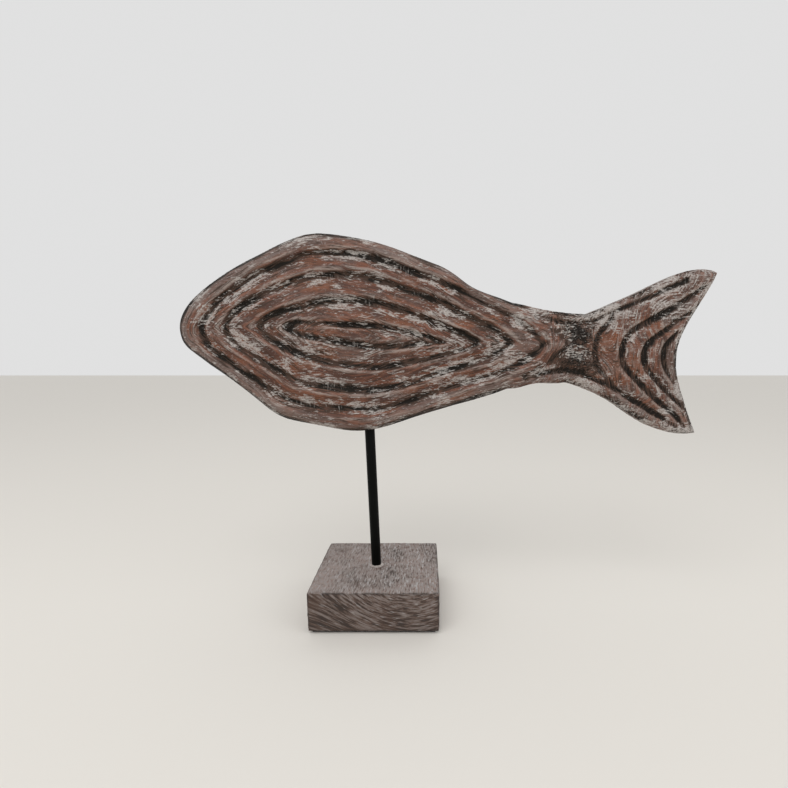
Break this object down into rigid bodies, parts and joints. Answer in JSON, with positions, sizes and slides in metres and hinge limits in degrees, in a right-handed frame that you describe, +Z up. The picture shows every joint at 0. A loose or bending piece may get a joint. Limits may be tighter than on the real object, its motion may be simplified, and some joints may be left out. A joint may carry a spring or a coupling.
{
  "type": "fish figurine",
  "caption": "Carved wooden fish with leaf-shaped grooves that turns on a thin black rod, standing in a square whitewashed wooden block.",
  "frame": {"origin": "middle of the felt's underside, on the surface that the figurine stands on", "axes": "+Z up, -X towards the fish's nose, -Y towards the viewer of the carved front"},
  "size_m": [0.3252, 0.08, 0.2371],
  "materials": {
    "carved_wood": "brown stain, dark grooves, dry-brushed grey white",
    "black_rod": "satin black paint",
    "whitewashed_wood": "grey brown whitewash",
    "set_glue": "dried wood glue",
    "felt": "dark felt"
  },
  "bodies": {
    "stand": {"base_block": "whitewashed_wood", "base_felt": "felt", "support_rod": "black_rod", "rod_glue": "set_glue"},
    "fish": {"fish_body": "carved_wood"}
  },
  "joints": [
    {"name": "fish_swivel", "type": "hinge", "parent": "stand", "child": "fish", "pos_m": [-0.0043, 0, 0.11916], "axis": [-0.0297, 0, 0.9996], "continuous": true}
  ]
}
